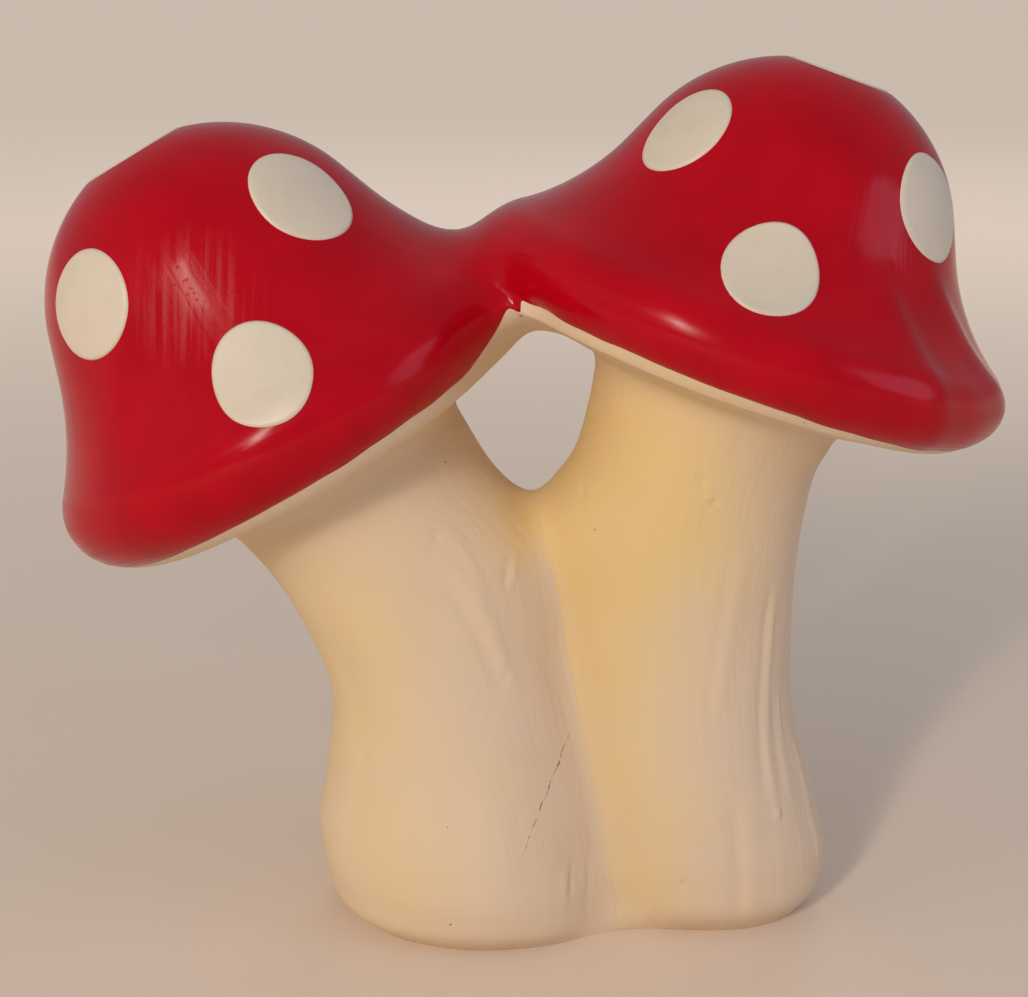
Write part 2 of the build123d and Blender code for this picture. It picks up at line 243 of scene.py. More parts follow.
ROOM_COLOUR, ROOM_STRENGTH = "#EEF1F6", 0.40
CAMERA_PLACE = (-0.0017, -0.3864, 0.1905)
CAMERA_DOWN = radians(15)
CAMERA_LENS, CAMERA_SENSOR = 70.04, 36.0


def linear(hex_code):
    """Linear red, green and blue of an sRGB hex colour."""
    channels = np.array([int(hex_code[i:i + 2], 16) for i in (1, 3, 5)]) / 255
    curve = ((channels + 0.055) / 1.055) ** 2.4
    return tuple(np.where(channels <= 0.04045, channels / 12.92, curve).tolist())


def length(name, millimetres, description):
    """A size that a user can change, in Blender's own length unit."""
    return FloatProperty(name=name, description=description, default=millimetres * MM, unit="LENGTH")


def angle(name, degrees, description):
    """An angle that a user can change."""
    return FloatProperty(name=name, description=description, default=radians(degrees), subtype="ANGLE")


def colour(name, hex_code, description):
    """A colour that a user can change."""
    return FloatVectorProperty(
        name=name, description=description, default=linear(hex_code), subtype="COLOR", min=0, max=1)


class LeftStemSizes(PropertyGroup):
    foot_x: length("Foot", -7.4, "Middle of the foot, to the right of the origin")
    top_x: length("Shoulder", -39.1, "Middle of the shoulder, to the right of the origin")
    top_height: length("Height", 95.3, "Height of the shoulder over the floor")
    lean: angle("Lean", -30.6, "Lean of the cap's axis to the right")
    bend: length("Bend", 62.5, "Length of the top stretch that follows the cap's axis")


class RightStemSizes(PropertyGroup):
    foot_x: length("Foot", 39.3, "Middle of the foot, to the right of the origin")
    top_x: length("Shoulder", 38.8, "Middle of the shoulder, to the right of the origin")
    top_height: length("Height", 111.1, "Height of the shoulder over the floor")
    lean: angle("Lean", 19.6, "Lean of the cap's axis to the right")
    bend: length("Bend", 43.6, "Length of the top stretch that follows the cap's axis")


class LeftCapSizes(PropertyGroup):
    height: length("Height", 70.9, "Top of the dome's whole round above the stem's shoulder")
    dome_radius: length("Dome", 34.8, "Radius of the dome")
    flat: length("Flat", 21.0, "Diameter of the flat on top of the dome")
    flank_angle: angle("Flank", 20.4, "Angle between the flank and the cap's axis")
    flank_length: length("Flank length", 7.4, "From the dome down to where the flare starts")
    rim_radius: length("Rim", 50.0, "Radius of the whole cap at its lip")
    lip_radius: length("Lip", 11.0, "Radius of the rolled lip")
    lip_height: length("Lip height", 13.8, "Middle of the roll above the stem's shoulder")
    top_spot: length("Top spot", 20.0, "Diameter of the spot on top")


class RightCapSizes(PropertyGroup):
    height: length("Height", 64.2, "Top of the dome's whole round above the stem's shoulder")
    dome_radius: length("Dome", 33.4, "Radius of the dome")
    flat: length("Flat", 21.0, "Diameter of the flat on top of the dome")
    flank_angle: angle("Flank", 25.0, "Angle between the flank and the cap's axis")
    flank_length: length("Flank length", 7.6, "From the dome down to where the flare starts")
    rim_radius: length("Rim", 52.5, "Radius of the whole cap at its lip")
    lip_radius: length("Lip", 8.2, "Radius of the rolled lip")
    lip_height: length("Lip height", 13.1, "Middle of the roll above the stem's shoulder")
    top_spot: length("Top spot", 20.0, "Diameter of the spot on top")


class ClaySizes(PropertyGroup):
    wall: length("Wall", 4.0, "Thickness of the cast clay")
    floor: length("Floor", 6.0, "Thickness of the stems' floors")
    vent_radius: length("Vent", 4.0, "Radius of the vent hole in each foot")
    seam_foot_x: length("Seam", 19.1, "Where the stems meet on the floor, to the right of the origin")
    fork_x: length("Fork", 3.5, "Where the stems part, to the right of the origin")
    fork_height: length("Fork height", 87.7, "Height at which the stems part")
    seam_depth_foot: length("Seam depth at foot", 12.0, "Half depth of the joint on the floor")
    seam_depth_fork: length("Seam depth at fork", 3.0, "Half depth of the joint at the fork")
    seam_soft_foot: length("Seam softness at foot", 11.0, "Width of the smoothed crease on the floor")
    seam_soft_fork: length("Seam softness at fork", 8.0, "Width of the smoothed crease at the fork")
    neck_soft: length("Neck softness", 14.0, "Width of the smoothed clay between the two lips")
    collar_soft: length("Collar softness", 3.5, "Width of the smoothed clay under the caps")
    spot_thickness: length("Spot thickness", 0.3, "How far the spots' paint stands proud")


class PaintColours(PropertyGroup):
    red: colour("Red", "#A00012", "The enamel where it lies thick")
    red_thin: colour("Thin red", "#C0041B", "The enamel where the brush left it thin")
    # Pale tint of the worn patch, which is also a painted highlight
    red_rubbed_sheen: colour("Rubbed red with sheen", "#C25850", "The enamel where it is rubbed")
    spot: colour("Spot", "#DACBB7", "The spots' paint")
    spot_stain: colour("Spot stain", "#CBB89C", "Faint stains on the spots")
    cream: colour("Cream", "#DEC6AC", "The bare stems")
    # Slip turned yellow, placed so that it also paints warm light on the sides facing left
    cream_aged_and_lit: colour("Aged and warm-lit cream", "#E5C68B", "The stems where the slip has yellowed")
    grime: colour("Grime", "#8E734C", "Dirt in pinholes and in the crack")
    floor: colour("Floor", "#E9D5C2", "The plain floor")


def smooth_step(value):
    """0 below 0, 1 above 1, and level at both ends between."""
    share = np.clip(value, 0, 1)
    return share * share * (3 - 2 * share)


def through(shares, values, at):
    """Smooth curve through values at shares: cubic pieces that take their slopes from the neighbours."""
    slopes = np.gradient(values, shares)
    piece = np.clip(np.searchsorted(shares, at) - 1, 0, len(shares) - 2)
    step = shares[piece + 1] - shares[piece]
    u = (at - shares[piece]) / step
    start = (1 + 2 * u) * (1 - u) ** 2 * values[piece] + u * (1 - u) ** 2 * step * slopes[piece]
    end = u * u * (3 - 2 * u) * values[piece + 1] + u * u * (u - 1) * step * slopes[piece + 1]
    return start + end


def blend(first, second, width):
    """Smooth minimum: the lesser distance, less a quarter of the width where the two are equal."""
    meeting = np.clip(1 - np.abs(first - second) / width, 0, None)
    return np.minimum(first, second) - meeting ** 2 * width / 4


def run_under(own, other, width):
    """How far a part swells where it nears another, so that the crease between the two is smooth.

    Up to the crease this is the parabola of a smooth minimum, a quarter of the width at the crease. Past it
    the swell goes on at the same slope and soon sinks back to that quarter, under the other part's face.
    """
    past = own - other
    beyond = np.clip(past, 0, None)
    run = np.minimum(UNDER_RUN, width / 2)
    return width / 4 * np.clip(1 + past / width, 0, 1) ** 2 + beyond / 2 * np.exp(-beyond / run)


def ripple(points, wavelength, seed):
    """Gentle unevenness of handwork between -1 and 1: the mean of plane waves in seeded directions."""
    random = np.random.default_rng(seed)
    waves = random.normal(size=(RIPPLE_WAVES, 3))
    waves *= tau / wavelength / np.linalg.norm(waves, axis=1, keepdims=True)
    return np.sin(points @ waves.T + random.uniform(0, tau, RIPPLE_WAVES)).mean(axis=-1)


def fade(value, low, high, width):
    """1 between two limits, and down to 0 within a width inside each."""
    return smooth_step((value - low) / width) * smooth_step((high - value) / width)


def nicks(points):
    """Height of the dents and lumps on the front: bell curves over slanted ovals, as seen from there."""
    x, z, half_width, half_length, slant, rise = np.array(NICKS).T
    right, up = points[..., :1] / MM - x, points[..., 2:] / MM - z
    slant = np.radians(slant)
    across = right * np.cos(slant) - up * np.sin(slant)
    along = right * np.sin(slant) + up * np.cos(slant)
    bells = np.exp(-(across / half_width) ** 2 - (along / half_length) ** 2)
    return np.where(points[..., 1] < 0, (rise * bells).sum(axis=-1) * MM, 0)


class StemForm:
    """A bent stem of egg-shaped rings.

    The centreline is a parabola from the foot to the shoulder. The ring at a share of the way up lies in
    a plane tilted by the lean times the share squared, and is an egg of four quarter ellipses.
    """

    def __init__(self, sizes, clay, outward, rings, flutes):
        self.sizes = sizes
        self.outward = outward
        self.flutes = flutes
        self.shares, away, depth, towards = np.array(rings).T
        self.away, self.depth = away * MM, depth * MM
        self.towards = np.where(towards > 0, towards * MM, self.seam_reach(clay))

    def centre(self, share):
        """Middle of the ring, as x and z."""
        s = self.sizes
        bend_x = s.top_x - s.bend * sin(s.lean)
        bend_z = s.top_height - s.bend * cos(s.lean)
        start, middle, end = (1 - share) ** 2, 2 * share * (1 - share), share ** 2
        return start * s.foot_x + middle * bend_x + end * s.top_x, middle * bend_z + end * s.top_height

    def tilt(self, share):
        """Tilt of the ring's plane to the right."""
        return self.sizes.lean * share ** 2

    def seam_reach(self, clay):
        """Half-width towards the other stem that gives each ring the seam's depth on the seam."""
        x, z = self.centre(self.shares)
        tilt = self.tilt(self.shares)
        slope = (clay.fork_x - clay.seam_foot_x) / clay.fork_height
        along = (clay.seam_foot_x + slope * z - x) / (np.cos(tilt) + slope * np.sin(tilt))
        height = (z - along * np.sin(tilt)) / clay.fork_height
        depth = clay.seam_depth_foot + (clay.seam_depth_fork - clay.seam_depth_foot) * height
        return np.abs(along) / np.sqrt(1 - (depth / self.depth) ** 2)

    def share_at(self, x, z):
        """Share of the ring whose plane holds a point, found by halving the span of shares."""
        low, high = np.zeros_like(x), np.full_like(x, HIGHEST_SHARE)
        for _ in range(HALVINGS):
            share = (low + high) / 2
            centre_x, centre_z = self.centre(share)
            tilt = self.tilt(share)
            above = (x - centre_x) * np.sin(tilt) + (z - centre_z) * np.cos(tilt) > 0
            low, high = np.where(above, share, low), np.where(above, high, share)
        return low

    def half_widths(self, share, to_right):
        """Half-width to the right or left, and half-depth, of the rings at these shares."""
        within = np.minimum(share, 1)
        away = through(self.shares, self.away, within)
        towards = through(self.shares, self.towards, within)
        width = np.where(to_right == (self.outward > 0), away, towards)
        return width, through(self.shares, self.depth, within)

    def distance(self, points):
        """Distance out of the stem or past its end in the cap, from the egg's equation over its slope."""
        x, y, z = points[..., 0], points[..., 1], points[..., 2]
        lean = self.sizes.lean
        above = (x - self.sizes.top_x) * sin(lean) + (z - self.sizes.top_height) * cos(lean) - STEM_TUCK
        share = self.share_at(x, z)
        centre_x, centre_z = self.centre(share)
        tilt = self.tilt(share)
        across = (x - centre_x) * np.cos(tilt) - (z - centre_z) * np.sin(tilt)
        width, depth = self.half_widths(share, across > 0)
        level = np.hypot(across / width, y / depth)
        slope = np.hypot(across / width ** 2, y / depth ** 2)
        return np.maximum((level - 1) * level / np.maximum(slope, LEAST_RING_SLOPE), above)

    def relief(self, points, turn):
        """Height of the handwork on the stem: ripple, nicks, and flutes as bell curves round the turn."""
        wavelength, rise = STEM_RIPPLE
        turn_low, turn_high, width, low, high, flute = np.array(self.flutes).T
        height = points[..., 2:] / MM
        middle = turn_low + (turn_high - turn_low) * (height - low) / (high - low)
        away = (np.degrees(turn - FRONT)[..., None] - middle + 180) % 360 - 180
        ends = fade(height, low, high, FLUTE_FADE)
        flutes = (flute * np.exp(-(away / width) ** 2) * ends).sum(axis=-1) * MM
        return rise * ripple(points, wavelength, self.outward + 1) + nicks(points) + flutes

    def surface(self, share, turn):
        """Points and outward directions on the rings at these shares and turns round the centreline."""
        centre_x, centre_z = self.centre(share)
        tilt = self.tilt(share)
        width, depth = self.half_widths(share, np.cos(turn) > 0)
        across, y = width * np.cos(turn), depth * np.sin(turn)
        points = np.stack([centre_x + across * np.cos(tilt), y, centre_z - across * np.sin(tilt)], axis=-1)
        out_across, out_y = np.cos(turn) / width, np.sin(turn) / depth
        out = np.stack([out_across * np.cos(tilt), out_y, -out_across * np.sin(tilt)], axis=-1)
        return points, out / np.linalg.norm(out, axis=-1, keepdims=True)


class CapForm:
    """A bell turned about the cap's axis, with the stem's shoulder as its origin.

    Its outline runs from the top over a flat, a round dome, a straight flank, a hollow flare, a rolled lip
    and a straight underside to the shoulder. Along it the normal turns from straight up to down. The lip's
    lower edge is drawn out into a bare rim, deepest towards the other cap.
    """

    def __init__(self, sizes, stem, folds, paint_edge, neck_paint):
        self.sizes = sizes
        self.folds = folds
        self.inward = 0 if stem.outward < 0 else pi
        self.paint_edge = paint_edge
        self.neck_shift, self.neck_turn, self.neck_fade = neck_paint
        lean = stem.sizes.lean
        self.origin = np.array([stem.sizes.top_x, 0, stem.sizes.top_height])
        self.across = np.array([cos(lean), 0, -sin(lean)])
        self.axis = np.array([sin(lean), 0, cos(lean)])
        self.seat = np.array([max(stem.away[-1], stem.depth[-1], stem.towards[-1]), 0])
        self.set_dome()
        self.set_lip()
        self.lengths = np.cumsum([
            sizes.flat / 2, sizes.dome_radius * (self.dome_angle - sizes.flank_angle), sizes.flank_length,
            self.flare_radius * (self.flare_angle - sizes.flank_angle),
            sizes.lip_radius * (self.flare_angle - self.under_angle)])
        self.flare_end, self.lip_end = self.lengths[-2:]

    def set_dome(self):
        """Flat, dome and flank, as radius and height: the flank leaves the dome along its tangent."""
        s = self.sizes
        flank = s.flank_angle
        self.out, self.down = np.array([cos(flank), sin(flank)]), np.array([sin(flank), -cos(flank)])
        self.dome = np.array([0, s.height - s.dome_radius])
        self.flat_top = s.height - s.dome_radius + sqrt(s.dome_radius ** 2 - s.flat ** 2 / 4)
        self.dome_angle = acos(s.flat / 2 / s.dome_radius)
        self.flank_top = self.dome + self.out * s.dome_radius
        self.flank_end = self.flank_top + self.down * s.flank_length

    def set_lip(self):
        """Lip, the flare that touches both flank and lip, the underside's tangent to the lip, and the rim."""
        s = self.sizes
        self.lip = np.array([s.rim_radius - s.lip_radius, s.lip_height])
        gap = self.flank_end - self.lip
        self.flare_radius = (gap @ gap - s.lip_radius ** 2) / (2 * (s.lip_radius - gap @ self.out))
        self.flare = self.flank_end + self.out * self.flare_radius
        self.flare_angle = atan2(*(self.flare - self.lip)[::-1])
        to_seat = self.seat - self.lip
        self.under_angle = atan2(*to_seat[::-1]) + acos(s.lip_radius / hypot(*to_seat))
        self.rim_top = s.lip_height + s.lip_radius * sin(self.under_angle + self.paint_edge)
        self.rim_foot = s.lip_height + s.lip_radius * sin(self.under_angle + RIM_FOOT)

    def outline(self, travel):
        """Radius, height and the normal's angle at a length along the outline from its top."""
        s = self.sizes
        flat_end, dome_end, flank_end, flare_end, lip_end = self.lengths
        stretch = [travel < end for end in self.lengths]
        normal = np.select(
            stretch,
            [pi / 2, self.dome_angle - (travel - flat_end) / s.dome_radius, s.flank_angle,
             s.flank_angle + (travel - flank_end) / self.flare_radius,
             self.flare_angle - (travel - flare_end) / s.lip_radius], self.under_angle)
        facing = np.stack([np.cos(normal), np.sin(normal)])
        under = self.lip + s.lip_radius * np.array([cos(self.under_angle), sin(self.under_angle)])
        inwards = np.array([sin(self.under_angle), -cos(self.under_angle)])
        places = [
            np.stack([travel, np.full_like(travel, self.flat_top)]),
            self.dome[:, None] + s.dome_radius * facing,
            self.flank_top[:, None] + self.down[:, None] * (travel - dome_end),
            self.flare[:, None] - self.flare_radius * facing,
            self.lip[:, None] + s.lip_radius * facing]
        radius, height = np.select(stretch, places, under[:, None] + inwards[:, None] * (travel - lip_end))
        return radius, height, normal

    def rim_depth(self, turn):
        """How far the bare rim hangs down at these turns, from outer to inner side as the turn's cosine."""
        return RIM_OUTER + (RIM_INNER - RIM_OUTER) * (1 + np.cos(turn - self.inward)) / 2

    def distance(self, points):
        """Distance out of the bell, from the nearest stretch of its outline, with the rim pushed back up."""
        s = self.sizes
        local = points - self.origin
        right = local @ self.across
        depth = self.rim_depth(np.arctan2(local[..., 1], right))
        height = local @ self.axis
        hanging = (self.rim_top - height) / (self.rim_top - self.rim_foot + depth)
        height = height + depth * np.clip(hanging, 0, 1)
        radius = np.hypot(right, local[..., 1])
        at = np.stack([radius, height], axis=-1)
        dome = np.maximum(np.linalg.norm(at - self.dome, axis=-1) - s.dome_radius, height - self.flat_top)
        flank = (at - self.flank_top) @ self.out
        flare = self.flare_radius - np.hypot(np.minimum(radius - self.flare[0], 0), height - self.flare[1])
        upper = np.where((at - self.flank_end) @ self.down < 0, flank, flare)
        upper = np.where((at - self.flank_top) @ self.down < 0, dome, upper)
        under = (at - self.seat) @ np.array([cos(self.under_angle), sin(self.under_angle)])
        from_lip = at - self.lip
        bearing = np.arctan2(from_lip[..., 1], from_lip[..., 0])
        on_lip = (bearing > self.under_angle) & (bearing < self.flare_angle)
        lip = np.linalg.norm(from_lip, axis=-1) - s.lip_radius
        return np.where(on_lip, lip, np.maximum(upper, under))

    def surface(self, travel, turn):
        """Points and outward directions at lengths along the outline and turns about the axis."""
        shape = np.broadcast(travel, turn).shape
        travel, turn = np.broadcast_to(travel, shape).ravel(), np.broadcast_to(turn, shape).ravel()
        radius, height, normal = self.outline(travel)
        hanging = np.clip((self.rim_top - height) / (self.rim_top - self.rim_foot), 0, 1)
        height = height - self.rim_depth(turn) * hanging
        round_about = np.cos(turn)[:, None] * self.across + np.sin(turn)[:, None] * np.array([0, 1, 0])
        points = self.origin + radius[:, None] * round_about + height[:, None] * self.axis
        out = np.cos(normal)[:, None] * round_about + np.sin(normal)[:, None] * self.axis
        return points.reshape(*shape, 3), out.reshape(*shape, 3)

    def relief(self, points, travel, turn):
        """Height of the handwork on the cap: ripple, and slanted folds that are steeper on their right."""
        wavelength, rise = CAP_RIPPLE
        height = rise * ripple(points, wavelength, CAP_SEED)
        for middle, start, slant, left, right, low, high, fold in self.folds:
            away = (np.degrees(turn - FRONT) - middle - slant * (travel / MM - start) + 180) % 360 - 180
            bell = np.exp(-(away / np.where(away < 0, left, right)) ** 2)
            height = height + fold * MM * bell * fade(travel / MM, low, high, FOLD_FADE)
        return height

    def paint_travel(self, turn):
        """Length along the outline at which the red ends: a little uneven, and shifted near the neck."""
        from_neck = np.abs((turn - self.inward + pi) % tau - pi)
        near = smooth_step((self.neck_turn - from_neck) / self.neck_fade)
        ending = self.under_angle + self.paint_edge + near * self.neck_shift
        waver = PAINT_WAVER * sum(rise * np.sin(count * turn + shift) for count, rise, shift in PAINT_WAVES)
        return self.flare_end + (self.flare_angle - ending) * self.sizes.lip_radius + waver


def nearest_other(distances, own):
    """Distance out of the nearest part that isn't one's own, from the distances by name."""
    return np.min([distance for name, distance in distances.items() if name != own], axis=0)


class OrnamentForm:
    """Both toadstools as one body of clay whose joints have been smoothed over."""

    def __init__(self, scene):
        self.clay = scene.ornament_clay
        left = StemForm(scene.ornament_left_stem, self.clay, -1, LEFT_RINGS, LEFT_FLUTES)
        right = StemForm(scene.ornament_right_stem, self.clay, 1, RIGHT_RINGS, RIGHT_FLUTES)
        self.parts = {
            "left_stem": left,
            "right_stem": right,
            "left_cap": CapForm(scene.ornament_left_cap, left, (), LEFT_PAINT_EDGE, LEFT_NECK_PAINT),
            "right_cap": CapForm(scene.ornament_right_cap, right, FOLDS, RIGHT_PAINT_EDGE, RIGHT_NECK_PAINT),
        }

    def distances(self, points):
        """Distance out of each part by name."""
        return {name: part.distance(points) for name, part in self.parts.items()}

    def clear(self, points, own):
        """1 well clear of the other parts, and down to 0 where they touch."""
        return smooth_step(nearest_other(self.distances(points), own) / JOINT_FADE)

    def swell(self, points, parts, own):
        """How far a part swells at its joints with the other stem, and between stems and caps."""
        clay = self.clay
        low = np.clip(1 - points[..., 2] / clay.fork_height, 0, 1)
        seam = clay.seam_soft_fork + (clay.seam_soft_foot - clay.seam_soft_fork) * low
        total = np.zeros(points.shape[:-1])
        for name, distance in parts.items():
            if own.endswith("stem") and name.endswith("stem") and name != own:
                total += run_under(parts[own], distance, seam)
            elif own.endswith("stem") != name.endswith("stem"):
                total += run_under(parts[own], distance, clay.collar_soft)
        return total

    def level(self, points, own):
        """Distance out of a part with its swells, 0 on its finished face."""
        parts = self.distances(points)
        return parts[own] - self.swell(points, parts, own)

    def settle(self, points, own):
        """Move a part's points near its joints out to its finished face.

        Each step moves a point against the slope of the distance by that distance, as Newton's method does,
        but no further than the longest step.
        """
        parts = self.distances(points)
        swelling = self.swell(points, parts, own) > SETTLE_FINENESS
        near = swelling & (nearest_other(parts, own) > -SETTLE_DEPTH)
        moved = points[near]
        for _ in range(SETTLE_STEPS):
            here = self.level(moved, own)
            aside = np.eye(3) * SLOPE_STEP
            slope = np.stack([self.level(moved + step, own) - here for step in aside], axis=-1) / SLOPE_STEP
            step = slope * (here / np.maximum((slope ** 2).sum(axis=-1), LEAST_SLOPE))[..., None]
            reach = np.linalg.norm(step, axis=-1, keepdims=True)
            moved = moved - step * np.minimum(1, LONGEST_STEP / np.maximum(reach, SETTLE_FINENESS))
        settled = points.copy()
        settled[near] = moved
        return settled

    def neck_axis(self):
        """Middle and direction of the line between the two lips where they come closest."""
        left, right = self.parts["left_cap"], self.parts["right_cap"]
        start = left.origin + left.across * left.lip[0] + left.axis * left.lip[1]
        end = right.origin - right.across * right.lip[0] + right.axis * right.lip[1]
        along = (end - start) / np.linalg.norm(end - start)
        start = start + along * left.sizes.lip_radius
        end = end - along * right.sizes.lip_radius
        return (start + end) / 2, along

    def bridge(self, points, own):
        """Move a cap's points near the other cap straight out from the neck's axis to the smoothed neck.

        The neck is where the smooth minimum of both caps' distances is 0. Each step moves a point out by its
        depth, so it can't go too far. Points past the joint pass under the other cap and stay in it.
        """
        cap, other = self.parts[own], self.parts["right_cap" if own == "left_cap" else "left_cap"]
        width = self.clay.neck_soft
        cover = -other.distance(points)
        near = (cover > -width) & (cover < BRIDGE_LAP + BRIDGE_FADE)
        cover, start = cover[near], points[near]
        middle, along = self.neck_axis()
        out = start - middle
        out = out - (out @ along)[..., None] * along
        out = out / np.maximum(np.linalg.norm(out, axis=-1, keepdims=True), SETTLE_FINENESS)
        moved = start
        for _ in range(BRIDGE_STEPS):
            moved = moved - out * blend(cap.distance(moved), other.distance(moved), width)[..., None]
        moved = moved - out * (BRIDGE_UNDER * smooth_step(cover / BRIDGE_LAP))[..., None]
        kept = 1 - smooth_step((cover - BRIDGE_LAP) / BRIDGE_FADE)
        bridged = points.copy()
        bridged[near] = start + (moved - start) * kept[..., None]
        return bridged


def grid_faces(rows, columns, closed):
    """Quads between neighbouring rows, wrapped round the columns, and round the rows too if closed."""
    row = np.arange(rows if closed else rows - 1)[:, None]
    column = np.arange(columns)[None, :]
    right = (column + 1) % columns
    here, below = row * columns, (row + 1) % rows * columns
    corners = [here + column, below + column, below + right, here + right]
    return np.stack(np.broadcast_arrays(*corners), axis=-1).reshape(-1, 4)


def pole_faces(rows, columns):
    """Triangles from the first pole to the first row, and from the last row to the last pole."""
    column = np.arange(columns)
    right = (column + 1) % columns
    first, last = rows * columns, rows * columns + 1
    end = (rows - 1) * columns
    top = np.stack([np.full(columns, first), column, right], axis=-1)
    bottom = np.stack([np.full(columns, last), end + right, end + column], axis=-1)
    return np.concatenate([top, bottom])


def yellowing_and_light(points, places):
    """How far the slip has turned yellow, with painted warm light on the sides that face left: a soft round
    patch about each listed place, seen from the front.
    """
    x, z, radius, strength = np.array(places).T
    apart = np.hypot(points[..., :1] / MM - x, points[..., 2:] / MM - z)
    return (strength * np.exp(-(apart / radius) ** 2)).sum(axis=-1)


def make_piece(name, grid, around, poles=None, yellowed_and_lit=()):
    """Mesh object from a grid of points, rows running down its outside, closed by poles or onto itself.

    The attribute "around" holds, in metres, a turn about the piece as a circle and the way down it.
    Another attribute holds how far the slip has turned yellow, with painted warm light on the sides facing
    left, on a piece that has such places.
    """
    rows, columns = grid.shape[:2]
    points, along = grid.reshape(-1, 3), around.reshape(-1, 3)
    faces = grid_faces(rows, columns, poles is None).tolist()
    if poles is not None:
        points = np.concatenate([points, poles])
        along = np.concatenate([along, around[0].mean(axis=0)[None], around[-1].mean(axis=0)[None]])
        faces += pole_faces(rows, columns).tolist()
    mesh = bpy.data.meshes.new(name)
    mesh.from_pydata(points, [], faces)
    mesh.polygons.foreach_set("use_smooth", np.ones(len(mesh.polygons), dtype=bool))
    layer = mesh.attributes.new("around", "FLOAT_VECTOR", "POINT")
    layer.data.foreach_set("vector", along.astype(np.float32).ravel())
    if yellowed_and_lit:
        layer = mesh.attributes.new("aged_and_lit", "FLOAT", "POINT")
        layer.data.foreach_set("value", yellowing_and_light(points, yellowed_and_lit).astype(np.float32))
    mesh.update()
    piece = bpy.data.objects.new(name, mesh)
    bpy.context.scene.collection.objects.link(piece)
    return piece


def dress(piece, material, slot, *nodes):
    """Gives a piece its finish and its body, and hides the imported parts of the nodes that it stands for.
    The slot is not used.
    """
    piece.data.materials.append(material)
    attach(piece, "root")
    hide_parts(*nodes)


def turns(columns):
    """Turns round a piece, evenly spaced, one for each column of its grid."""
    return np.linspace(0, tau, columns, endpoint=False)[None, :]


def circle_and_way(turn, way, radius):
    """The "around" attribute: the turn as a circle of a given radius, and the way down the piece."""
    turn, way = np.broadcast_arrays(turn, way)
    return np.stack([radius * np.cos(turn), radius * np.sin(turn), way], axis=-1)


def make_stem(form, name, yellowed_and_lit, material):
    """Stem: rings from inside the cap down to the foot, then in over the floor and up into the vent."""
    stem = form.parts[name]
    clay = form.clay
    turn = turns(STEM_COLUMNS)
    share = STEM_END * np.linspace(1, 0, STEM_ROWS)[:, None] ** STEM_ROW_CROWDING
    share, turn = np.broadcast_arrays(share, turn)
    points, out = stem.surface(share, turn)
    clear = form.clear(points, name)
    points = form.settle(points, name)
    points = points + out * (stem.relief(points, turn) * clear)[..., None]
    points[..., 2] = np.maximum(points[..., 2], 0)
    points[-1, :, 2] = 0
    hole = np.stack([
        stem.sizes.foot_x + clay.vent_radius * np.cos(turn[0]), clay.vent_radius * np.sin(turn[0]),
        np.zeros(STEM_COLUMNS)], axis=-1)
    up = np.array([0, 0, clay.floor])
    grid = np.concatenate([points, hole[None], hole[None] + up])
    way = np.concatenate([points[..., 2], np.zeros((2, STEM_COLUMNS))])
    top_x, top_z = stem.centre(STEM_END)
    poles = np.array([[top_x, 0, top_z], [stem.sizes.foot_x, 0, clay.floor]])
    around = circle_and_way(turn[:1], way, STEM_MEAN_RADIUS)
    piece = make_piece(name + "_body", grid, around, poles, yellowed_and_lit)
    dress(piece, material, "cream_bisque", name)


def cap_skins(form, name, travel, turn):
    """Outer skin of a cap with its joints and handwork, and a plain inner skin a wall's depth below it."""
    cap = form.parts[name]
    points, out = cap.surface(travel, turn)
    outer = form.bridge(form.settle(points, name), name)
    outer = outer + out * (cap.relief(outer, travel, turn) * form.clear(points, name))[..., None]
    return outer, points - out * form.clay.wall


def make_underside(form, name, yellowed_and_lit, material):
    """Underside: from the paint's edge round the lip and in to the stem, and back a wall's depth inside."""
    cap = form.parts[name]
    turn = turns(CAP_COLUMNS)
    edge = cap.paint_travel(turn)
    end = cap.lip_end + UNDERSIDE_REACH
    share = np.linspace(0, 1, UNDERSIDE_ROWS)[:, None]
    travel = edge + (end - edge) * share ** UNDERSIDE_ROW_CROWDING
    outer, inner = cap_skins(form, name, travel, turn)
    grid = np.concatenate([outer, inner[::-UNDERSIDE_INNER_STEP]])
    way = np.concatenate([travel, travel[::-UNDERSIDE_INNER_STEP]])
    around = circle_and_way(turn, way, CAP_MEAN_RADIUS)
    piece = make_piece(name + "_underside_plate", grid, around, yellowed_and_lit=yellowed_and_lit)
    dress(piece, material, "cream_bisque", name + "_underside")


def make_cap(form, name, material, *nodes):
    """Cap: from the top down to the paint's edge, and back up inside by the wall's depth."""
    cap = form.parts[name]
    turn = turns(CAP_COLUMNS)
    travel = cap.paint_travel(turn) * np.linspace(0, 1, CAP_ROWS + 1)[1:, None]
    outer, inner = cap_skins(form, name, travel, turn)
    grid = np.concatenate([outer, inner[::-CAP_INNER_STEP]])
    way = np.concatenate([travel, travel[::-CAP_INNER_STEP]])
    top = cap.origin + cap.axis * cap.flat_top
    poles = np.array([top, top - cap.axis * form.clay.wall])
    piece = make_piece(name + "_shell", grid, circle_and_way(turn, way, CAP_MEAN_RADIUS), poles)
    dress(piece, material, "red_enamel", name, *nodes)


def drawn_round(bearing, seed):
    """Hand-drawn outline round a spot: 1 with a few seeded waves, the finer the weaker."""
    random = np.random.default_rng(seed)
    waves = np.arange(*SPOT_WAVES)[:, None]
    rises = SPOT_WAVER * random.normal(size=waves.shape) / waves
    waver = rises * np.cos(waves * bearing + random.uniform(0, tau, waves.shape))
    return 1 + waver.sum(axis=0)


